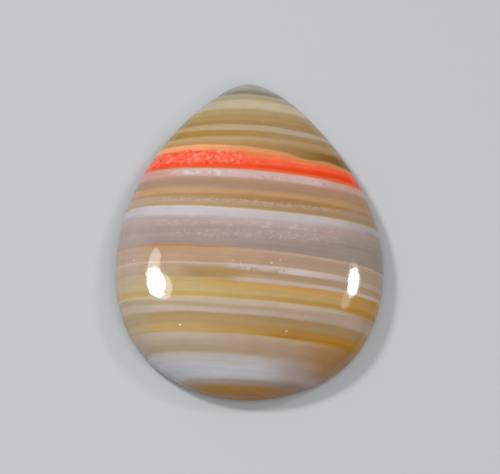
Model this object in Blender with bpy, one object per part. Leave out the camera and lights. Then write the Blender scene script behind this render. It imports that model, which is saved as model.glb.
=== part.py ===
"""A pear-shaped cabochon of banded onyx: one polished stone with a domed face and a flat back.

The stone lies on its flat back with +Z up. Its pointed tip is towards +Y and its width runs along X.
The origin is at the centre of its bounding box in plan, on the back face. Lengths are in millimetres
here and become metres where the mesh is written.
"""

import bpy
import numpy as np

MM = 0.001

# Overall size
LENGTH = 40.0
WIDTH = 30.0
THICKNESS = 6.0

# Outline seen from above, clockwise from the tip, as points that a smooth closed curve runs through
OUTLINE = (
    (0.1, 20.0),
    (2.5, 19.1),
    (8.1, 13.7),
    (13.5, 4.1),
    (14.8, -7.0),
    (10.7, -15.9),
    (9.0, -17.3),
    (0.1, -20.0),
    (-6.9, -18.5),
    (-12.4, -13.9),
    (-15.0, -3.4),
    (-13.4, 4.8),
    (-7.6, 14.7),
    (-4.4, 17.8),
)

# Edge of the stone, from the back face up to the girdle
BACK_BEVEL_WIDTH = 1.0
BACK_BEVEL_HEIGHT = 0.9
BACK_BEVEL_ROUNDING = 0.35
GIRDLE_HEIGHT = 1.7

# Domed face: every level line is the outline drawn smaller towards the crown
CROWN_X = 0.0
CROWN_Y = -4.0
DOME_FLATNESS = 2.3
SMALLEST_RING = 0.05

# How finely the surface is divided
SECTORS = 96
DOME_RINGS = 22
BEVEL_STEPS = 4
CURVE_STEPS = 4000
TIP_CROWDING = 0.5

# Polished banded chalcedony
STONE_COLOUR = (0.44, 0.33, 0.24, 1.0)
STONE_ROUGHNESS = 0.12
STONE_IOR = 1.54


def clear_scene():
    """Removes whatever the file opens with."""
    for item in list(bpy.data.objects):
        bpy.data.objects.remove(item, do_unlink=True)


def spline_slopes(points, steps):
    """Slopes of the smooth closed cubic curve through the points, one for each point."""
    count = len(points)
    matrix = np.zeros((count, count))
    right_side = np.zeros((count, 2))
    for here in range(count):
        before = (here - 1) % count
        after = (here + 1) % count
        step_in = steps[before]
        step_out = steps[here]
        matrix[here, before] = step_out
        matrix[here, here] = 2.0 * (step_in + step_out)
        matrix[here, after] = step_in
        rise_in = (points[here] - points[before]) / step_in
        rise_out = (points[after] - points[here]) / step_out
        right_side[here] = 3.0 * (rise_in * step_out + rise_out * step_in)
    return np.linalg.solve(matrix, right_side)


def closed_curve(points, samples):
    """Samples of the smooth closed curve, the same share of its parameter apart."""
    points = np.array(points, float)
    following = np.roll(points, -1, axis=0)
    steps = np.linalg.norm(following - points, axis=1)
    slopes = spline_slopes(points, steps)
    slopes_after = np.roll(slopes, -1, axis=0)
    knots = np.concatenate([[0.0], np.cumsum(steps)])
    places = np.linspace(0.0, knots[-1], samples, endpoint=False)
    span = np.clip(np.searchsorted(knots, places, side="right") - 1, 0, len(points) - 1)
    size = steps[span][:, None]
    share = (places - knots[span])[:, None] / size
    start_weight = 2 * share**3 - 3 * share**2 + 1
    end_weight = 3 * share**2 - 2 * share**3
    start_slope_weight = (share**3 - 2 * share**2 + share) * size
    end_slope_weight = (share**3 - share**2) * size
    return (
        start_weight * points[span]
        + end_weight * following[span]
        + start_slope_weight * slopes[span]
        + end_slope_weight * slopes_after[span]
    )


def spread_evenly(curve, count):
    """Picks count points of a closed curve, closer together where it turns more, as at the tip."""
    ahead = np.roll(curve, -1, axis=0) - curve
    lengths = np.linalg.norm(ahead, axis=1)
    headings = np.unwrap(np.arctan2(ahead[:, 1], ahead[:, 0]))
    turns = np.abs(np.diff(headings, append=headings[0] - 2 * np.pi))
    weight = (1 - TIP_CROWDING) * lengths / lengths.sum() + TIP_CROWDING * turns / turns.sum()
    travelled = np.concatenate([[0.0], np.cumsum(weight)])
    closed = np.vstack([curve, curve[:1]])
    wanted = np.arange(count) / count * travelled[-1]
    return np.column_stack([np.interp(wanted, travelled, closed[:, axis]) for axis in (0, 1)])


def stone_outline(count):
    """The outline's points, brought to exactly the stated width and length about the origin."""
    points = spread_evenly(closed_curve(OUTLINE, CURVE_STEPS), count)
    low = points.min(axis=0)
    high = points.max(axis=0)
    return (points - (low + high) / 2) / (high - low) * np.array([WIDTH, LENGTH])


def outward_normals(points):
    """Unit directions that point out of a clockwise outline."""
    along = np.roll(points, -1, axis=0) - np.roll(points, 1, axis=0)
    normals = np.column_stack([-along[:, 1], along[:, 0]])
    return normals / np.linalg.norm(normals, axis=1)[:, None]


def back_bevel_profile():
    """Pairs of inset and height, from the flat back up to the vertical side, both corners rounded."""
    slope = np.array([-BACK_BEVEL_WIDTH, BACK_BEVEL_HEIGHT])
    slope = slope / np.linalg.norm(slope)
    low_corner = np.array([BACK_BEVEL_WIDTH, 0.0])
    high_corner = np.array([0.0, BACK_BEVEL_HEIGHT])
    reach = BACK_BEVEL_ROUNDING
    low_curve = (low_corner + np.array([reach, 0.0]), low_corner, low_corner + slope * reach)
    high_curve = (high_corner - slope * reach, high_corner, high_corner + np.array([0.0, reach]))
    profile = []
    for start, corner, end in (low_curve, high_curve):
        for step in range(BEVEL_STEPS + 1):
            share = step / BEVEL_STEPS
            point = (1 - share) ** 2 * start + 2 * share * (1 - share) * corner + share**2 * end
            profile.append((point[0], point[1]))
    return profile


def dome_height(share):
    """Height of the level line whose size is this share of the outline."""
    return GIRDLE_HEIGHT + (THICKNESS - GIRDLE_HEIGHT) * np.sqrt(1 - share**DOME_FLATNESS)


def stone_rings(count):
    """Closed rings of points from the back face to the crown."""
    outline = stone_outline(count)
    normals = outward_normals(outline)
    crown = np.array([CROWN_X, CROWN_Y])
    rings = []
    for inset, height in back_bevel_profile():
        ring = outline - normals * inset
        rings.append(np.column_stack([ring, np.full(count, height)]))
    for number in range(DOME_RINGS + 1):
        angle = number / DOME_RINGS * np.pi / 2
        share = SMALLEST_RING + (1 - SMALLEST_RING) * np.cos(angle)
        ring = crown + (outline - crown) * share
        rings.append(np.column_stack([ring, np.full(count, dome_height(share))]))
    return rings


def stone_mesh(name):
    """One closed skin over the rings, with a flat back and a single point at the crown."""
    rings = stone_rings(SECTORS)
    vertices = np.vstack(rings + [np.array([[CROWN_X, CROWN_Y, THICKNESS]])]) * MM
    crown_index = len(vertices) - 1
    faces = [tuple(range(SECTORS))]
    for level in range(len(rings) - 1):
        for here in range(SECTORS):
            after = (here + 1) % SECTORS
            low = level * SECTORS
            high = low + SECTORS
            faces.append((low + here, high + here, high + after, low + after))
    last = (len(rings) - 1) * SECTORS
    for here in range(SECTORS):
        faces.append((last + here, crown_index, last + (here + 1) % SECTORS))
    mesh = bpy.data.meshes.new(name)
    mesh.from_pydata(vertices.tolist(), [], faces)
    mesh.update()
    return mesh


def stone_material():
    """Polished chalcedony in the average colour of its bands."""
    material = bpy.data.materials.new("banded_onyx")
    material.use_nodes = True
    shader = material.node_tree.nodes["Principled BSDF"]
    shader.inputs["Base Color"].default_value = STONE_COLOUR
    shader.inputs["Roughness"].default_value = STONE_ROUGHNESS
    shader.inputs["IOR"].default_value = STONE_IOR
    shader.inputs["Metallic"].default_value = 0.0
    return material


def build_stone():
    """The whole stone, shaded smooth except round its flat back."""
    mesh = stone_mesh("stone")
    stone = bpy.data.objects.new("stone", mesh)
    bpy.context.scene.collection.objects.link(stone)
    mesh.materials.append(stone_material())
    mesh.shade_smooth()
    mesh.set_sharp_from_angle(angle=np.radians(40.0))
    return stone


clear_scene()
build_stone()
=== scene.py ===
import math

import bmesh
import bpy
import numpy as np
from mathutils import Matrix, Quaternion, Vector


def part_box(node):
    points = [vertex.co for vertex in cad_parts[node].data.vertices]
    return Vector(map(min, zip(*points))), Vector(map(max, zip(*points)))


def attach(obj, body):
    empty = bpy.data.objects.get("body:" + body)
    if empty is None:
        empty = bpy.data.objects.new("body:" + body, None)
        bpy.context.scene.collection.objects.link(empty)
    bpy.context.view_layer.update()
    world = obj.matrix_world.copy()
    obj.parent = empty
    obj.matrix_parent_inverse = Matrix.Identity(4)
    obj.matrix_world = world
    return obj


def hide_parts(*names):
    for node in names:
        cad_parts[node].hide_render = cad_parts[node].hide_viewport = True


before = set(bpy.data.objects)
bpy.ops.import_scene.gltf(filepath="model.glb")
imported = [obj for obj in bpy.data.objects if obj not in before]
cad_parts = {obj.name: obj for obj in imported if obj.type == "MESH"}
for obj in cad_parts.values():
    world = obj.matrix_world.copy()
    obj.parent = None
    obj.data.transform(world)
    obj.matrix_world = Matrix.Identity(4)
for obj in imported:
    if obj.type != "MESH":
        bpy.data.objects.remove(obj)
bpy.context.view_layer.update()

# Lengths in this script are millimetres unless a name says otherwise
MM = 0.001

# Outline of the stone seen from above, clockwise from the tip, for a stone 30 wide and 40 long
OUTLINE = (
    (0.1, 20.0),
    (2.5, 19.1),
    (8.1, 13.7),
    (13.5, 4.1),
    (14.8, -7.0),
    (10.7, -15.9),
    (9.0, -17.3),
    (0.1, -20.0),
    (-6.9, -18.5),
    (-12.4, -13.9),
    (-15.0, -3.4),
    (-13.4, 4.8),
    (-7.6, 14.7),
    (-4.4, 17.8),
)

# Edge and domed face
BACK_BEVEL_WIDTH = 1.0
BACK_BEVEL_HEIGHT = 0.9
BACK_BEVEL_ROUNDING = 0.35
GIRDLE_HEIGHT = 1.7
CROWN = np.array([0.0, -4.0])
DOME_FLATNESS = 2.3
SMALLEST_RING = 0.01

# Fineness of the surface
SECTORS = 480
DOME_RINGS = 130
BEVEL_STEPS = 8
CURVE_STEPS = 9600
TIP_CROWDING = 0.35
SHARP_ANGLE_DEG = 40.0

# Flat map of the surface: size of the sheet, middles of its two halves, and room for the steep rim
MAP_NAME = "OFBake"
MAP_SIZE = 70.0
FACE_MAP_CENTRE = np.array([0.25, 0.5])
BACK_MAP_CENTRE = np.array([0.75, 0.5])
MAP_SPREAD = 0.10

# Hand polish: height of the slight waves of the domed face, and how many lie over which length. Two
# sets of slanting waves cross, each with its own slant and start, and both fade towards the edge
POLISH_WAVE = 0.012
POLISH_WAVES_ACROSS = 2.3
POLISH_WAVES_OVER = 30.0
FIRST_WAVE_SLANT = 0.6
FIRST_WAVE_START = 0.4
SECOND_WAVE_CLOSENESS = 0.8
SECOND_WAVE_SLANT = 0.5
SECOND_WAVE_START = 1.1
POLISH_FADE_POWER = 4

# Pinholes in the polish: place across and along the stone, radius, depth and strength of the painted glint
# laid into the pit's colour
PINHOLES = (
    (-7.5, -12.74, 0.17, 0.07, 0.9),
    (-12.76, -4.54, 0.16, 0.05, 0.35),
    (-1.83, -5.49, 0.17, 0.055, 0.3),
    (-1.0, -5.75, 0.13, 0.04, 0.3),
    (2.38, -5.82, 0.18, 0.06, 0.5),
    (3.36, -5.47, 0.13, 0.04, 0.4),
    (3.96, -13.62, 0.18, 0.06, 0.35),
    (1.5, 13.1, 0.10, 0.04, 0.2),
)
# Stored strength of the painted glint in each pinhole
PIT_GLINTS = "painted_pit_glints"
PINHOLE_PATCH = 0.45
PINHOLE_CUTS = 5

# Camera: straight in front of the wide end, looking down on the domed face
CAMERA_TILT_DEG = 28.0
CAMERA_DISTANCE = 187.5
CAMERA_AIM = (0.05, -0.37, 1.69)
CAMERA_LENS_MM = 119.3
CAMERA_SENSOR_MM = 36.0
CAMERA_NEAREST_M = 0.01
CAMERA_FARTHEST_M = 10.0

# Lights: compass direction from +Y towards +X, height above the horizon, roll, size, strength, and
# whether the polish mirrors it. The weak ones give the shoulder and the paler glows that lie beside
# the highlights of the key and of the side light
LIGHT_DISTANCE = 420.0
LIGHTS = (
    ("key", -61.1, 51.6, 12.8, (66.0, 84.0), 0.71, True),
    ("key_shoulder", -57.1, 48.4, 32.0, (20.0, 80.0), 0.045, True),
    ("key_upper_glow", -53.0, 47.9, -10.5, (66.0, 50.0), 0.040, True),
    ("key_side_glow", -59.5, 56.3, 60.2, (70.0, 65.0), 0.058, True),
    ("side", 65.5, 44.4, 77.8, (76.0, 71.0), 0.25, True),
    ("side_glow", 64.6, 43.1, 41.2, (99.0, 82.0), 0.042, True),
    ("side_foot_glow", 72.4, 50.3, 0.0, (54.0, 56.0), 0.016, True),
    ("fill", 160.0, 62.0, 0.0, (420.0, 420.0), 0.91, False),
)
SKY_COLOUR = (0.985, 0.98, 0.96, 1.0)
SKY_STRENGTH = 0.226

# From a tone as seen, 0 to 255, to linear light
FULL_TONE = 255.0
DARK_TONE_LIMIT = 0.04045
DARK_TONE_DIVISOR = 12.92
TONE_OFFSET = 0.055
TONE_POWER = 2.4

# Tones of the banding as seen under the lights, red, green and blue from 0 to 255, so some hold painted
# shade
TONES = {
    "mist": (162, 157, 147),
    "olive_grey": (141, 134, 115),
    "straw": (176, 168, 144),
    "khaki": (168, 155, 123),
    "cream": (191, 175, 149),
    "yellow_tan": (181, 158, 108),
    "dull_straw": (166, 146, 107),
    "tan_gold": (177, 148, 96),
    "dull_tan": (166, 139, 98),
    "olive_brown": (162, 135, 86),
    "drab_tan": (157, 130, 93),
    "buff": (188, 159, 120),
    "pink_buff": (178, 159, 141),
    "ochre": (168, 131, 68),
    "light_tan": (170, 138, 100),
    "orange_tan": (187, 144, 98),
    "olive_tan": (151, 118, 73),
    "dark_olive": (127, 89, 37),
    "peach": (240, 164, 114),
    "amber": (204, 134, 84),
    "coral": (252, 106, 80),
    "vermilion": (239, 89, 56),
    "scarlet": (247, 78, 50),
    "brick": (224, 66, 28),
    "rust": (208, 106, 62),
    "rose_tan": (200, 157, 144),
    "dull_rose": (190, 155, 143),
    "pink_white": (206, 176, 173),
    "mauve_tan": (172, 140, 118),
    "dusk_tan": (164, 130, 103),
    "apricot_tan": (193, 155, 115),
    "honey_tan": (178, 138, 98),
    "caramel": (177, 139, 100),
    "bronze": (160, 123, 80),
    "grey_buff": (179, 154, 130),
    "grey_tan": (163, 134, 108),
    "wheat": (177, 147, 108),
    "moss_tan": (157, 128, 87),
    "lilac_white": (201, 191, 197),
    "grey_white": (184, 175, 173),
    "pale_mauve": (178, 158, 154),
    "warm_grey": (166, 147, 140),
    "taupe": (161, 139, 131),
    "dove_grey": (146, 132, 123),
    "rust_line": (182, 125, 85),
    "orange_glow": (191, 150, 113),
    "peach_line": (173, 147, 129),
    "rose_buff": (184, 152, 125),
    "rose_brown": (166, 141, 120),
    "pale_line": (200, 174, 157),
    "pale_buff": (182, 158, 128),
    "fawn": (164, 139, 113),
    "pale_gold": (194, 167, 120),
    "amber_gold": (186, 143, 82),
    "straw_gold": (193, 169, 122),
    "khaki_gold": (183, 149, 96),
    "mustard": (190, 160, 102),
    "old_gold": (169, 132, 72),
    "cream_pink": (194, 175, 149),
    "ash_buff": (174, 155, 130),
    "ash_rose": (166, 144, 124),
    "pale_rose": (191, 172, 155),
    "rose_grey": (170, 150, 133),
    "sage_tan": (171, 146, 104),
    "bark": (155, 126, 88),
    "golden_brown": (166, 119, 54),
    "lilac_buff": (181, 165, 150),
    "tawny": (168, 141, 112),
    "ash_tan": (172, 154, 136),
    "walnut": (156, 129, 106),
    "khaki_grey": (163, 146, 121),
    "smoke": (152, 134, 125),
    "chalk": (178, 174, 173),
    "ice_blue": (177, 177, 184),
    "pale_smoke": (161, 144, 134),
    "dim_smoke": (131, 113, 101),
    "umber": (143, 107, 59),
    "umber_gold": (157, 117, 62),
    "wheat_gold": (183, 154, 103),
    "bright_grain": (255, 146, 124),
    "deep_grain": (236, 58, 38),
    "frost": (226, 211, 213),
    "crystal": (204, 186, 182),
    "blush_speck": (206, 180, 164),
    "lens_white": (196, 181, 176),
    "olive_stain": (166, 131, 84),
    "saffron": (156, 108, 34),
    # painted veils of light on the rim: pale on the lit left, grey on the shaded right
    "painted_lit_rim_lilac": (182, 172, 166),
    "painted_shaded_rim_grey": (143, 133, 121),
    "painted_lit_rim_ash": (168, 156, 142),
    "flame": (231, 130, 82),
    # painted shade for the lower right
    "painted_shade_russet": (149, 107, 56),
    "amber_line": (190, 150, 84),
    "pale_peach": (184, 157, 136),
    # painted glint in the pinholes
    "painted_glint_white": (255, 250, 236),
}

# Bands from the tip down: upper edge 10 left of, at and 10 right of the middle line, softness of
# that edge at the left and at the right, and the tone at the left and at the right. The right-hand
# tones are partly the stone's own colour and partly painted shade, the right lying away from the key
BANDS = (
    (30.0, 30.0, 30.0, 0.10, 0.10, "mist", "mist"),
    (18.85, 18.22, 17.50, 0.25, 0.25, "olive_grey", "olive_grey"),
    (18.05, 17.45, 16.70, 0.16, 0.16, "straw", "straw"),
    (17.70, 17.15, 16.40, 0.18, 0.18, "khaki", "khaki"),
    (17.20, 16.55, 15.80, 0.30, 0.30, "cream", "cream"),
    (15.85, 15.12, 14.40, 0.32, 0.32, "yellow_tan", "dull_straw"),
    (14.90, 14.20, 13.60, 0.30, 0.30, "tan_gold", "dull_tan"),
    (14.00, 13.25, 12.85, 0.20, 0.20, "olive_brown", "drab_tan"),
    (13.30, 12.58, 11.75, 0.16, 0.16, "buff", "pink_buff"),
    (12.60, 11.72, 11.10, 0.20, 0.22, "ochre", "drab_tan"),
    (11.48, 10.80, 10.30, 0.16, 0.22, "buff", "light_tan"),
    (10.95, 10.25, 9.90, 0.20, 0.22, "orange_tan", "dull_tan"),
    (10.60, 9.90, 9.50, 0.40, 0.40, "orange_tan", "olive_tan"),
    (10.36, 9.29, 7.75, 0.16, 0.14, "peach", "amber"),
    (9.56, 8.47, 7.20, 0.20, 0.48, "coral", "vermilion"),
    (7.95, 6.93, 6.35, 0.30, 0.34, "scarlet", "brick"),
    (7.38, 6.46, 5.60, 0.20, 0.14, "rust", "rust"),
    (7.10, 6.00, 5.16, 0.16, 0.14, "rose_tan", "dull_rose"),
    (5.75, 4.88, 4.20, 0.40, 0.40, "mauve_tan", "dusk_tan"),
    (4.45, 3.45, 2.65, 0.28, 0.30, "apricot_tan", "honey_tan"),
    (3.65, 2.75, 1.95, 0.20, 0.22, "caramel", "bronze"),
    (3.22, 2.05, 1.40, 0.14, 0.18, "grey_buff", "grey_tan"),
    (2.45, 1.40, 0.72, 0.10, 0.14, "wheat", "moss_tan"),
    (2.02, 0.95, 0.17, 0.11, 0.16, "lilac_white", "grey_white"),
    (0.68, -0.30, -0.85, 0.40, 0.36, "pale_mauve", "pale_mauve"),
    (-0.60, -1.15, -1.25, 0.45, 0.45, "warm_grey", "warm_grey"),
    (-2.60, -2.90, -2.70, 1.00, 1.00, "taupe", "dove_grey"),
    (-3.05, -4.08, -5.10, 0.09, 0.12, "rust_line", "peach_line"),
    (-3.27, -4.28, -5.28, 0.10, 0.12, "orange_glow", "rose_brown"),
    (-3.58, -4.62, -5.50, 0.22, 0.20, "rose_buff", "rose_brown"),
    (-5.12, -6.02, -6.88, 0.08, 0.10, "pale_line", "rose_brown"),
    (-5.34, -6.22, -7.05, 0.12, 0.12, "pale_buff", "fawn"),
    (-6.82, -8.00, -8.86, 0.18, 0.12, "pale_gold", "amber_gold"),
    (-7.75, -8.80, -9.40, 0.30, 0.28, "straw_gold", "khaki_gold"),
    (-8.62, -9.66, -10.40, 0.16, 0.14, "mustard", "old_gold"),
    (-9.25, -10.15, -11.00, 0.09, 0.12, "cream_pink", "pink_buff"),
    (-9.75, -10.88, -11.42, 0.16, 0.16, "ash_buff", "ash_rose"),
    (-10.30, -11.36, -12.05, 0.12, 0.16, "pale_rose", "rose_grey"),
    (-11.05, -11.88, -12.68, 0.16, 0.20, "sage_tan", "bark"),
    (-12.30, -13.10, -13.88, 0.24, 0.22, "wheat_gold", "golden_brown"),
    (-13.28, -14.12, -15.12, 0.12, 0.16, "lilac_buff", "tawny"),
    (-14.00, -14.75, -15.60, 0.30, 0.30, "ash_tan", "walnut"),
    (-14.60, -15.38, -16.10, 0.34, 0.34, "khaki_grey", "walnut"),
    (-15.50, -16.35, -17.00, 0.24, 0.30, "chalk", "smoke"),
    # the darker right-hand tone here is partly painted shade, where the lower rim faces away from the lights
    (-17.85, -18.55, -18.90, 0.32, 0.32, "pale_smoke", "dim_smoke"),
    (-18.45, -19.15, -19.45, 0.28, 0.28, "umber_gold", "umber"),
)
EDGE_READING_X = 10.0
TONE_CHANGE_X = 9.0
LAYER_SLOPE = 0.09

# Patches over the bands: upper and lower edge read at the same three places, softness of both, the
# stretch from left to right that the patch takes up, the fade at its ends, grain, tone and share
PATCHES = (
    ((9.70, 9.40, 9.10), (9.50, 9.20, 7.86), 0.24, 7.0, 16.0, 4.5, "even", "dark_olive", 0.95),
    ((9.60, 8.80, 7.35), (7.60, 6.85, 6.20), 0.25, -11.8, -0.9, 0.9, "grains", "bright_grain", 0.80),
    ((9.60, 8.80, 7.35), (7.30, 6.50, 5.70), 0.20, -11.5, 1.0, 3.0, "dark_grains", "deep_grain", 0.55),
    ((9.40, 8.50, 7.20), (7.60, 6.95, 6.30), 0.30, 0.0, 9.0, 2.5, "clumps", "bright_grain", 0.18),
    ((9.30, 8.52, 7.60), (8.60, 7.90, 6.75), 0.35, -1.5, 7.4, 3.0, "even", "flame", 0.70),
    ((7.16, 6.08, 5.28), (6.10, 5.04, 4.24), 0.20, -8.5, 8.5, 3.0, "even", "pink_white", 0.90),
    ((6.70, 5.90, 5.10), (6.20, 5.25, 4.40), 0.16, -8.6, -1.6, 1.4, "grains", "frost", 0.75),
    ((6.70, 5.75, 4.95), (6.20, 5.05, 4.20), 0.16, 0.5, 9.5, 2.0, "specks", "mauve_tan", 0.40),
    ((3.10, 2.16, 1.42), (2.50, 1.62, 0.92), 0.12, -10.5, 10.0, 3.0, "specks", "blush_speck", 0.40),
    ((0.10, -0.55, -1.05), (-0.60, -1.40, -1.75), 0.20, -10.5, 10.5, 3.5, "clumps", "crystal", 0.32),
    ((-1.20, -1.75, -2.00), (-2.00, -2.75, -3.00), 0.25, -9.5, 9.5, 4.5, "specks", "crystal", 0.32),
    ((-5.15, -6.00, -6.95), (-5.60, -6.76, -7.64), 0.12, -2.4, 16.0, 1.6, "even", "lens_white", 0.92),
    ((-5.15, -6.00, -6.80), (-5.60, -6.84, -7.70), 0.12, 9.0, 20.0, 8.0, "even", "rose_brown", 0.70),
    ((-5.45, -6.38, -7.08), (-5.60, -6.90, -7.60), 0.20, -2.0, 4.6, 1.5, "smears", "olive_stain", 0.70),
    ((-5.95, -6.45, -7.00), (-6.85, -7.35, -7.90), 0.20, 0.6, 3.2, 1.4, "even", "bronze", 0.40),
    ((-3.03, -4.10, -5.14), (-3.36, -4.42, -5.42), 0.09, -2.6, 20.0, 3.0, "even", "pale_peach", 0.75),
    ((-5.70, -6.60, -7.50), (-7.10, -7.80, -8.60), 0.28, -7.2, -0.2, 3.2, "even", "olive_stain", 0.78),
    ((-7.30, -7.95, -8.70), (-8.10, -8.75, -9.40), 0.30, -5.0, 2.0, 3.0, "even", "amber_line", 0.60),
    ((-6.60, -7.62, -8.48), (-7.20, -8.10, -8.92), 0.11, -1.8, 16.0, 3.0, "even", "lens_white", 0.62),
    ((-9.20, -9.55, -9.30), (-9.20, -10.10, -11.25), 0.25, 10.5, 16.0, 2.5, "even", "saffron", 0.40),
    ((-13.25, -13.85, -14.52), (-13.50, -14.12, -14.80), 0.10, 2.0, 16.0, 4.0, "even", "saffron", 0.55),
    # painted shade: darker brown over the lower right, away from the key light
    ((-14.00, -14.75, -15.00), (-16.80, -17.60, -18.20), 0.30, 6.5, 16.0, 5.0, "even", "painted_shade_russet", 0.72),
    # painted pale veil of light on the lower part of the lit left rim
    ((-9.80, -9.80, -9.80), (-15.50, -15.50, -15.50), 0.60, -20.0, -11.2, 2.0, "even", "painted_lit_rim_ash", 0.45),
    ((-15.50, -16.30, -17.20), (-17.80, -18.50, -19.00), 0.35, -16.0, 2.5, 5.0, "even", "chalk", 0.75),
    ((-16.50, -17.35, -18.10), (-17.80, -18.40, -18.90), 0.35, -16.0, 1.5, 5.0, "even", "ice_blue", 0.80),
    # painted pale veil of light on the lit left rim
    ((3.50, 3.50, 3.50), (-8.50, -9.00, -9.00), 1.50, -20.0, -11.6, 2.8, "even", "painted_lit_rim_lilac", 0.40),
    # painted grey veil of shade on the shaded right rim
    ((2.50, 2.50, 2.50), (-4.60, -4.70, -5.20), 0.80, 10.5, 20.0, 3.5, "even", "painted_shaded_rim_grey", 0.35),
)

# Bulges where the layers run lower or higher: middle, half sizes and how far the layers drop there
BULGES = (
    (6.4, 8.1, 2.6, 1.6, 0.36),
    (-5.0, 9.6, 4.0, 1.4, -0.08),
    (-1.2, 8.9, 1.6, 0.8, -0.16),
    (-5.0, -5.9, 3.5, 0.7, 0.12),
)

# Unevenness of the layers, fine streaks along them, and clouds through them: scales per millimetre,
# reach or contrast, and how many finer octaves each noise has
WAVER_SCALE = (0.25, 0.60, 0.40)
WAVER_REACH = 0.20
WAVER_DETAIL = 3.0
FRAY_SCALE = (1.10, 2.20, 1.10)
FRAY_REACH = 0.10
STREAK_SCALE = (0.10, 3.00, 0.30)
STREAK_CONTRAST = 0.13
STREAK_DETAIL = 3.0
SHEET_SCALE = (0.05, 1.05, 0.12)
SHEET_CONTRAST = 0.09
MOTTLE_SCALE = (0.55, 0.95, 0.55)
MOTTLE_CONTRAST = 0.10
MOTTLE_DETAIL = 4.0
LAYER_NOISE_ROUGHNESS = 0.55

# Grain of the patches: scale per millimetre, and where its noise begins and is full
GRAINS = {
    "grains": ((1.5, 1.8, 1.5), 0.46, 0.68),
    "dark_grains": ((2.0, 2.4, 2.0), 0.50, 0.66),
    "clumps": ((1.3, 1.9, 1.3), 0.44, 0.68),
    "specks": ((2.6, 3.2, 2.6), 0.44, 0.68),
    "smears": ((2.6, 1.2, 1.8), 0.40, 0.72),
}

# Polished chalcedony
STONE_ROUGHNESS = 0.045
ROUGHNESS_CHANGE = 0.04
STONE_IOR = 1.54
POLISH_VEIL = 0.012
GLOW_WEIGHT = 0.10
GLOW_DEPTH = 0.25
GLOW_REACH = (1.0, 0.8, 0.6)
ORANGE_PEEL_SCALE = 1.4
ORANGE_PEEL_DETAIL = 1.0
ORANGE_PEEL_HEIGHT = 0.004

# Plain surface under the stone
FLOOR_TONE = (0.50, 0.51, 0.53, 1.0)
FLOOR_ROUGHNESS = 0.7
FLOOR_SIZE = 3000.0

# Places of the Mix node's colour inputs and output among its sockets
MIX_FACTOR = 0
MIX_FIRST_COLOUR = 6
MIX_SECOND_COLOUR = 7
MIX_COLOUR_OUT = 2


def spline_slopes(points, steps):
    """Slopes of the smooth closed cubic curve through the points, one for each point."""
    count = len(points)
    matrix = np.zeros((count, count))
    right_side = np.zeros((count, 2))
    for here in range(count):
        before = (here - 1) % count
        after = (here + 1) % count
        step_in = steps[before]
        step_out = steps[here]
        matrix[here, before] = step_out
        matrix[here, here] = 2.0 * (step_in + step_out)
        matrix[here, after] = step_in
        rise_in = (points[here] - points[before]) / step_in
        rise_out = (points[after] - points[here]) / step_out
        right_side[here] = 3.0 * (rise_in * step_out + rise_out * step_in)
    return np.linalg.solve(matrix, right_side)


def closed_curve(points, samples):
    """Samples of the smooth closed curve, the same share of its parameter apart."""
    points = np.array(points, float)
    following = np.roll(points, -1, axis=0)
    steps = np.linalg.norm(following - points, axis=1)
    slopes = spline_slopes(points, steps)
    slopes_after = np.roll(slopes, -1, axis=0)
    knots = np.concatenate([[0.0], np.cumsum(steps)])
    places = np.linspace(0.0, knots[-1], samples, endpoint=False)
    span = np.clip(np.searchsorted(knots, places, side="right") - 1, 0, len(points) - 1)
    size = steps[span][:, None]
    share = (places - knots[span])[:, None] / size
    start_weight = 2 * share**3 - 3 * share**2 + 1
    end_weight = 3 * share**2 - 2 * share**3
    start_slope_weight = (share**3 - 2 * share**2 + share) * size
    end_slope_weight = (share**3 - share**2) * size
    return (
        start_weight * points[span]
        + end_weight * following[span]
        + start_slope_weight * slopes[span]
        + end_slope_weight * slopes_after[span]
    )


def spread_evenly(curve, count):
    """Picks count points of a closed curve, closer together where it turns more, as at the tip."""
    ahead = np.roll(curve, -1, axis=0) - curve
    lengths = np.linalg.norm(ahead, axis=1)
    headings = np.unwrap(np.arctan2(ahead[:, 1], ahead[:, 0]))
    turns = np.abs(np.diff(headings, append=headings[0] - 2 * np.pi))
    weight = (1 - TIP_CROWDING) * lengths / lengths.sum() + TIP_CROWDING * turns / turns.sum()
    travelled = np.concatenate([[0.0], np.cumsum(weight)])
    closed = np.vstack([curve, curve[:1]])
    wanted = np.arange(count) / count * travelled[-1]
    return np.column_stack([np.interp(wanted, travelled, closed[:, axis]) for axis in (0, 1)])


def stone_size():
    """Width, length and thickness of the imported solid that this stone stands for."""
    low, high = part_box("stone")
    return (high.x - low.x) / MM, (high.y - low.y) / MM, (high.z - low.z) / MM


def stone_outline(count):
    """The outline's points, brought to the solid's own width and length about the origin."""
    points = spread_evenly(closed_curve(OUTLINE, CURVE_STEPS), count)
    low = points.min(axis=0)
    high = points.max(axis=0)
    return (points - (low + high) / 2) / (high - low) * np.array(stone_size()[:2])


def outward_normals(points):
    """Unit directions that point out of a clockwise outline."""
    along = np.roll(points, -1, axis=0) - np.roll(points, 1, axis=0)
    normals = np.column_stack([-along[:, 1], along[:, 0]])
    return normals / np.linalg.norm(normals, axis=1)[:, None]


def back_bevel_profile():
    """Pairs of inset and height, from the flat back up to the vertical side, both corners rounded."""
    slope = np.array([-BACK_BEVEL_WIDTH, BACK_BEVEL_HEIGHT])
    slope = slope / np.linalg.norm(slope)
    low_corner = np.array([BACK_BEVEL_WIDTH, 0.0])
    high_corner = np.array([0.0, BACK_BEVEL_HEIGHT])
    reach = BACK_BEVEL_ROUNDING
    low_curve = (low_corner + np.array([reach, 0.0]), low_corner, low_corner + slope * reach)
    high_curve = (high_corner - slope * reach, high_corner, high_corner + np.array([0.0, reach]))
    profile = []
    for start, corner, end in (low_curve, high_curve):
        for step in range(BEVEL_STEPS + 1):
            share = step / BEVEL_STEPS
            point = (1 - share) ** 2 * start + 2 * share * (1 - share) * corner + share**2 * end
            profile.append((point[0], point[1]))
    return profile


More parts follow.
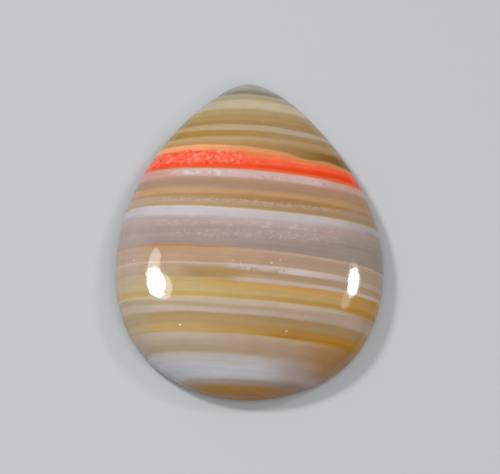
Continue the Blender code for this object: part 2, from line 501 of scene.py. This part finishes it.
def dome_height(share, thickness):
    """Height of the level line whose size is this share of the outline."""
    return GIRDLE_HEIGHT + (thickness - GIRDLE_HEIGHT) * np.sqrt(1 - share**DOME_FLATNESS)


def polish_wave(points, share):
    """Slight unevenness left by polishing by hand, none at the edge and never above the solid."""
    turns_x = 2 * np.pi * POLISH_WAVES_ACROSS * points[:, 0] / POLISH_WAVES_OVER
    turns_y = 2 * np.pi * POLISH_WAVES_ACROSS * points[:, 1] / POLISH_WAVES_OVER
    first = turns_x + FIRST_WAVE_SLANT * turns_y + FIRST_WAVE_START
    second = SECOND_WAVE_CLOSENESS * turns_y - SECOND_WAVE_SLANT * turns_x + SECOND_WAVE_START
    wave = np.sin(first) * np.cos(second)
    return POLISH_WAVE * (wave - 1.0) * (1 - share**POLISH_FADE_POWER)


def stone_rings(count):
    """Closed rings of points from the back face to the crown."""
    outline = stone_outline(count)
    normals = outward_normals(outline)
    thickness = stone_size()[2]
    rings = []
    for inset, height in back_bevel_profile():
        ring = outline - normals * inset
        rings.append(np.column_stack([ring, np.full(count, height)]))
    for number in range(DOME_RINGS + 1):
        angle = number / DOME_RINGS * np.pi / 2
        share = SMALLEST_RING + (1 - SMALLEST_RING) * np.cos(angle)
        ring = CROWN + (outline - CROWN) * share
        heights = dome_height(share, thickness) + polish_wave(ring, share)
        rings.append(np.column_stack([ring, heights]))
    return rings


def add_bake_map(mesh):
    """Flat map for the surface colours: the face on the left, the side and back on the right."""
    layer = mesh.uv_layers.new(name=MAP_NAME)
    points = np.zeros(len(mesh.vertices) * 3)
    mesh.vertices.foreach_get("co", points)
    points = points.reshape(-1, 3) / MM
    plan = points[:, :2]
    height = points[:, 2]
    depth_below_crown = np.clip((height.max() - height) / (height.max() - GIRDLE_HEIGHT), 0, 1)
    face_spread = 1.0 + MAP_SPREAD * depth_below_crown**2
    face_map = FACE_MAP_CENTRE + plan * face_spread[:, None] / MAP_SIZE
    back_spread = 1.0 + MAP_SPREAD * np.clip(height / GIRDLE_HEIGHT, 0, 1)
    back_map = BACK_MAP_CENTRE + plan * np.array([-1.0, 1.0]) * back_spread[:, None] / MAP_SIZE
    first_dome_vertex = 2 * (BEVEL_STEPS + 1) * SECTORS
    corner_map = np.zeros((len(mesh.loops), 2))
    for polygon in mesh.polygons:
        on_back = min(polygon.vertices) < first_dome_vertex
        chosen = back_map if on_back else face_map
        for corner, vertex in zip(polygon.loop_indices, polygon.vertices):
            corner_map[corner] = chosen[vertex]
    layer.data.foreach_set("uv", corner_map.astype(np.float32).ravel())


def stone_mesh(name):
    """One closed skin over the rings, with a flat back and a single point at the crown."""
    rings = stone_rings(SECTORS)
    crown_height = rings[-1][:, 2].mean()
    crown_point = np.array([[CROWN[0], CROWN[1], crown_height]])
    vertices = np.vstack(rings + [crown_point]) * MM
    crown_index = len(vertices) - 1
    faces = [tuple(range(SECTORS))]
    for level in range(len(rings) - 1):
        for here in range(SECTORS):
            after = (here + 1) % SECTORS
            low = level * SECTORS
            high = low + SECTORS
            faces.append((low + here, high + here, high + after, low + after))
    last = (len(rings) - 1) * SECTORS
    for here in range(SECTORS):
        faces.append((last + here, crown_index, last + (here + 1) % SECTORS))
    mesh = bpy.data.meshes.new(name)
    mesh.from_pydata(vertices.tolist(), [], faces)
    mesh.update()
    return mesh


class Graph:
    """Short ways to add and join a material's nodes."""

    def __init__(self, material):
        self.tree = material.node_tree
        self.nodes = material.node_tree.nodes

    def set_input(self, node, index, value):
        """Joins another node's output to an input, or gives the input a fixed value."""
        if isinstance(value, bpy.types.NodeSocket):
            self.tree.links.new(value, node.inputs[index])
        else:
            node.inputs[index].default_value = value

    def math(self, operation, first, second=0.0, third=0.0, clamp=False):
        """The result of one sum, kept between 0 and 1 if clamped."""
        node = self.nodes.new("ShaderNodeMath")
        node.operation = operation
        node.use_clamp = clamp
        for index, value in enumerate((first, second, third)):
            self.set_input(node, index, value)
        return node.outputs[0]

    def step(self, value, low, high):
        """0 below low, 1 above high, smooth between."""
        node = self.nodes.new("ShaderNodeMapRange")
        node.interpolation_type = "SMOOTHSTEP"
        for index, item in enumerate((value, low, high, 0.0, 1.0)):
            self.set_input(node, index, item)
        return node.outputs[0]

    def blend(self, factor, first, second, way="MIX"):
        """The first colour turned into the second by a factor."""
        node = self.nodes.new("ShaderNodeMix")
        node.data_type = "RGBA"
        node.blend_type = way
        self.set_input(node, MIX_FACTOR, factor)
        self.set_input(node, MIX_FIRST_COLOUR, first)
        self.set_input(node, MIX_SECOND_COLOUR, second)
        return node.outputs[MIX_COLOUR_OUT]

    def noise(self, place, scale, detail=2.0, roughness=0.5):
        """Smooth noise through the stone, from 0 to 1."""
        node = self.nodes.new("ShaderNodeTexNoise")
        self.set_input(node, "Vector", place)
        self.set_input(node, "Scale", scale)
        self.set_input(node, "Detail", detail)
        self.set_input(node, "Roughness", roughness)
        return node.outputs[0]

    def stretch(self, place, across, along, up):
        """The place with each of its three directions scaled."""
        node = self.nodes.new("ShaderNodeVectorMath")
        node.operation = "MULTIPLY"
        self.set_input(node, 0, place)
        self.set_input(node, 1, (across, along, up))
        return node.outputs[0]

    def place_in_mm(self):
        """The point of the stone in millimetres, as a vector and as its three parts."""
        coordinates = self.nodes.new("ShaderNodeTexCoord")
        place = self.stretch(coordinates.outputs["Object"], 1 / MM, 1 / MM, 1 / MM)
        parts = self.nodes.new("ShaderNodeSeparateXYZ")
        self.set_input(parts, 0, place)
        return place, parts.outputs[0], parts.outputs[1], parts.outputs[2]


def linear(tone):
    """A tone of 0 to 255 as the linear colour under the polish, which adds a little light of its own."""
    parts = []
    for value in tone:
        share = value / FULL_TONE
        if share <= DARK_TONE_LIMIT:
            seen = share / DARK_TONE_DIVISOR
        else:
            seen = ((share + TONE_OFFSET) / (1 + TONE_OFFSET)) ** TONE_POWER
        parts.append(max(0.0, seen - POLISH_VEIL))
    return (*parts, 1.0)


def band_edge(graph, across, left, middle, right):
    """Where a layer's edge lies along the stone: a slightly bent line through three readings."""
    tilt = (right - left) / (2 * EDGE_READING_X)
    bend = (left + right - 2 * middle) / (2 * EDGE_READING_X**2)
    slope = graph.math("MULTIPLY_ADD", across, bend, tilt)
    return graph.math("MULTIPLY_ADD", across, slope, middle)


def bulged(graph, across, along):
    """The place along the stone, shifted where the layers bulge."""
    for middle_x, middle_y, half_x, half_y, drop in BULGES:
        share_x = graph.math("DIVIDE", graph.math("SUBTRACT", across, middle_x), half_x)
        share_y = graph.math("DIVIDE", graph.math("SUBTRACT", along, middle_y), half_y)
        square_x = graph.math("MULTIPLY", share_x, share_x)
        square_y = graph.math("MULTIPLY", share_y, share_y)
        square = graph.math("ADD", square_x, square_y)
        nearness = graph.math("SUBTRACT", 1.0, square, clamp=True)
        bump = graph.math("MULTIPLY", nearness, nearness)
        along = graph.math("MULTIPLY_ADD", bump, drop, along)
    return along


def banded_colour(graph, across, along):
    """The bands laid over one another from the tip down, in their left and in their right tones."""
    to_right = graph.step(across, -TONE_CHANGE_X, TONE_CHANGE_X)
    first_left_tone, first_right_tone = BANDS[0][-2:]
    left_colour = linear(TONES[first_left_tone])
    right_colour = linear(TONES[first_right_tone])
    for left, middle, right, left_softness, right_softness, left_tone, right_tone in BANDS[1:]:
        edge = band_edge(graph, across, left, middle, right)
        softness = graph.math("MULTIPLY_ADD", to_right, right_softness - left_softness, left_softness)
        below = graph.math("DIVIDE", graph.math("SUBTRACT", edge, along), softness)
        mask = graph.step(below, -1.0, 1.0)
        left_colour = graph.blend(mask, left_colour, linear(TONES[left_tone]))
        right_colour = graph.blend(mask, right_colour, linear(TONES[right_tone]))
    return graph.blend(to_right, left_colour, right_colour)


def grain_masks(graph, place):
    """How strongly each kind of grain shows at a place, from 0 to 1."""
    masks = {"even": 1.0}
    for name, (scale, low, high) in GRAINS.items():
        grain = graph.noise(graph.stretch(place, *scale), 1.0)
        masks[name] = graph.step(grain, low, high)
    return masks


def patched_colour(graph, colour, place, across, along):
    """The patches laid over the bands."""
    masks = grain_masks(graph, place)
    for upper, lower, softness, first, last, fade, grain, tone, share in PATCHES:
        below_top = graph.math("SUBTRACT", band_edge(graph, across, *upper), along)
        above_foot = graph.math("SUBTRACT", along, band_edge(graph, across, *lower))
        inside = graph.math(
            "MULTIPLY",
            graph.step(below_top, -softness, softness),
            graph.step(above_foot, -softness, softness),
        )
        begun = graph.step(across, first - fade / 2, first + fade / 2)
        ended = graph.step(across, last - fade / 2, last + fade / 2)
        stretch = graph.math("SUBTRACT", begun, ended, clamp=True)
        mask = graph.math("MULTIPLY", graph.math("MULTIPLY", inside, stretch), share)
        mask = graph.math("MULTIPLY", mask, masks[grain])
        colour = graph.blend(mask, colour, linear(TONES[tone]))
    return colour


def centred_noise(graph, place, scale, contrast, detail=2.0):
    """Noise about zero: half of contrast either way, at most."""
    noise = graph.noise(graph.stretch(place, *scale), 1.0, detail, LAYER_NOISE_ROUGHNESS)
    return graph.math("MULTIPLY", graph.math("SUBTRACT", noise, 0.5), contrast)


def streaked_colour(graph, colour, place, layer_place):
    """Fine light and dark streaks along the layers, and a slight cloudiness through them."""
    streaks = centred_noise(graph, layer_place, STREAK_SCALE, 2 * STREAK_CONTRAST, STREAK_DETAIL)
    sheets = centred_noise(graph, layer_place, SHEET_SCALE, 2 * SHEET_CONTRAST)
    clouds = centred_noise(graph, place, MOTTLE_SCALE, 2 * MOTTLE_CONTRAST, MOTTLE_DETAIL)
    total = graph.math("ADD", graph.math("ADD", streaks, sheets), clouds)
    gain = graph.math("ADD", total, 1.0)
    grey = graph.nodes.new("ShaderNodeCombineColor")
    for index in range(3):
        graph.set_input(grey, index, gain)
    return graph.blend(1.0, colour, grey.outputs[0], "MULTIPLY")


def pit_glint_colour(graph, colour):
    """Painted glints: a near-white colour laid into the bottoms of the pinholes."""
    pits = graph.nodes.new("ShaderNodeAttribute")
    pits.attribute_name = PIT_GLINTS
    return graph.blend(pits.outputs["Fac"], colour, linear(TONES["painted_glint_white"]))


def polish_relief(graph, place):
    """Normals of a hand polish: a faint orange peel."""
    bump = graph.nodes.new("ShaderNodeBump")
    bump.inputs["Strength"].default_value = 1.0
    bump.inputs["Distance"].default_value = ORANGE_PEEL_HEIGHT * MM
    graph.set_input(bump, "Height", graph.noise(place, ORANGE_PEEL_SCALE, ORANGE_PEEL_DETAIL))
    return bump.outputs[0]


def stone_material():
    """Banded chalcedony under a polish."""
    material = bpy.data.materials.new("banded_onyx")
    material.use_nodes = True
    graph = Graph(material)
    shader = graph.nodes["Principled BSDF"]
    place, across, along, up = graph.place_in_mm()
    waver = centred_noise(graph, place, WAVER_SCALE, WAVER_REACH, WAVER_DETAIL)
    fray = centred_noise(graph, place, FRAY_SCALE, FRAY_REACH, WAVER_DETAIL)
    along = graph.math("ADD", graph.math("ADD", along, waver), fray)
    along = bulged(graph, across, along)
    layer_place = graph.nodes.new("ShaderNodeCombineXYZ")
    tilted = graph.math("MULTIPLY_ADD", across, LAYER_SLOPE, along)
    for index, part in enumerate((across, tilted, up)):
        graph.set_input(layer_place, index, part)
    colour = banded_colour(graph, across, along)
    colour = patched_colour(graph, colour, place, across, along)
    colour = streaked_colour(graph, colour, place, layer_place.outputs[0])
    colour = pit_glint_colour(graph, colour)
    graph.set_input(shader, "Base Color", colour)
    haze = centred_noise(graph, place, MOTTLE_SCALE, ROUGHNESS_CHANGE)
    graph.set_input(shader, "Roughness", graph.math("ADD", haze, STONE_ROUGHNESS, clamp=True))
    graph.set_input(shader, "Normal", polish_relief(graph, place))
    shader.inputs["IOR"].default_value = STONE_IOR
    shader.inputs["Subsurface Weight"].default_value = GLOW_WEIGHT
    shader.inputs["Subsurface Radius"].default_value = GLOW_REACH
    shader.inputs["Subsurface Scale"].default_value = GLOW_DEPTH * MM
    return material


def sink_pinholes(mesh):
    """Tiny pits where the polish missed a grain, each in a patch of finer faces, with the strength of a
    painted glint stored for each pit's colour.
    """
    work = bmesh.new()
    work.from_mesh(mesh)
    glint_layer = work.verts.layers.float.new(PIT_GLINTS)
    middles = [Vector(row[:2]) * MM for row in PINHOLES]
    edges = {}
    for face in work.faces:
        centre = face.calc_center_median()
        nearest = min((centre.xy - middle).length for middle in middles)
        if nearest < PINHOLE_PATCH * MM and centre.z > GIRDLE_HEIGHT * MM:
            for edge in face.edges:
                edges[edge.index] = edge
    bmesh.ops.subdivide_edges(work, edges=list(edges.values()), cuts=PINHOLE_CUTS, use_grid_fill=True)
    for middle, (across, along, radius, depth, pale) in zip(middles, PINHOLES):
        for vertex in work.verts:
            share = (vertex.co.xy - middle).length / (radius * MM)
            if share < 1.0 and vertex.co.z > GIRDLE_HEIGHT * MM:
                hollow = (1 - share**2) ** 2
                vertex.co.z -= depth * MM * hollow
                # painted glint: near-white colour laid into the pit's bottom
                vertex[glint_layer] = pale * hollow
    work.to_mesh(mesh)
    work.free()


def build_stone():
    """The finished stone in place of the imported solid."""
    mesh = stone_mesh("onyx_cabochon")
    add_bake_map(mesh)
    sink_pinholes(mesh)
    stone = bpy.data.objects.new("onyx_cabochon", mesh)
    bpy.context.scene.collection.objects.link(stone)
    mesh.materials.append(stone_material())
    mesh.shade_smooth()
    mesh.set_sharp_from_angle(angle=math.radians(SHARP_ANGLE_DEG))
    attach(stone, "root")
    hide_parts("stone")
    return stone


def build_floor():
    """A plain pale surface under the stone."""
    half = FLOOR_SIZE / 2 * MM
    corners = [(-half, -half, 0.0), (half, -half, 0.0), (half, half, 0.0), (-half, half, 0.0)]
    mesh = bpy.data.meshes.new("floor")
    mesh.from_pydata(corners, [], [(0, 1, 2, 3)])
    material = bpy.data.materials.new("floor")
    material.use_nodes = True
    shader = material.node_tree.nodes["Principled BSDF"]
    shader.inputs["Base Color"].default_value = FLOOR_TONE
    shader.inputs["Roughness"].default_value = FLOOR_ROUGHNESS
    mesh.materials.append(material)
    floor = bpy.data.objects.new("floor", mesh)
    bpy.context.scene.collection.objects.link(floor)


def aim_at(item, target):
    """Turns a camera or light to look at a point, its top towards +Y or up."""
    item.rotation_mode = "QUATERNION"
    item.rotation_quaternion = (target - item.location).to_track_quat("-Z", "Y")


def add_soft_light(name, azimuth_deg, elevation_deg, roll_deg, size, watts, mirrored):
    """An oval soft light in a compass direction, facing the stone."""
    azimuth = math.radians(azimuth_deg)
    elevation = math.radians(elevation_deg)
    flat = math.cos(elevation)
    direction = Vector((math.sin(azimuth) * flat, math.cos(azimuth) * flat, math.sin(elevation)))
    light = bpy.data.lights.new(name, "AREA")
    light.shape = "ELLIPSE"
    light.size = size[0] * MM
    light.size_y = size[1] * MM
    light.energy = watts
    lamp = bpy.data.objects.new(name, light)
    bpy.context.scene.collection.objects.link(lamp)
    target = Vector(CAMERA_AIM) * MM
    lamp.location = target + direction * LIGHT_DISTANCE * MM
    aim_at(lamp, target)
    lamp.rotation_quaternion @= Quaternion((0.0, 0.0, 1.0), math.radians(roll_deg))
    lamp.visible_glossy = mirrored


def light_the_scene():
    """A key at the upper left and a weaker light at the right with their glows, a fill and a sky."""
    for row in LIGHTS:
        add_soft_light(*row)
    world = bpy.data.worlds.new("sky")
    world.use_nodes = True
    background = world.node_tree.nodes["Background"]
    background.inputs["Color"].default_value = SKY_COLOUR
    background.inputs["Strength"].default_value = SKY_STRENGTH
    bpy.context.scene.world = world
    bpy.context.scene.view_settings.view_transform = "Standard"


def add_camera():
    """The photograph's view of the stone."""
    data = bpy.data.cameras.new("camera")
    data.lens = CAMERA_LENS_MM
    data.sensor_width = CAMERA_SENSOR_MM
    data.clip_start = CAMERA_NEAREST_M
    data.clip_end = CAMERA_FARTHEST_M
    camera = bpy.data.objects.new("camera", data)
    bpy.context.scene.collection.objects.link(camera)
    tilt = math.radians(CAMERA_TILT_DEG)
    target = Vector(CAMERA_AIM) * MM
    back = Vector((0.0, -math.sin(tilt), math.cos(tilt)))
    camera.location = target + back * CAMERA_DISTANCE * MM
    aim_at(camera, target)
    bpy.context.scene.camera = camera


add_camera()
build_stone()
build_floor()
light_the_scene()
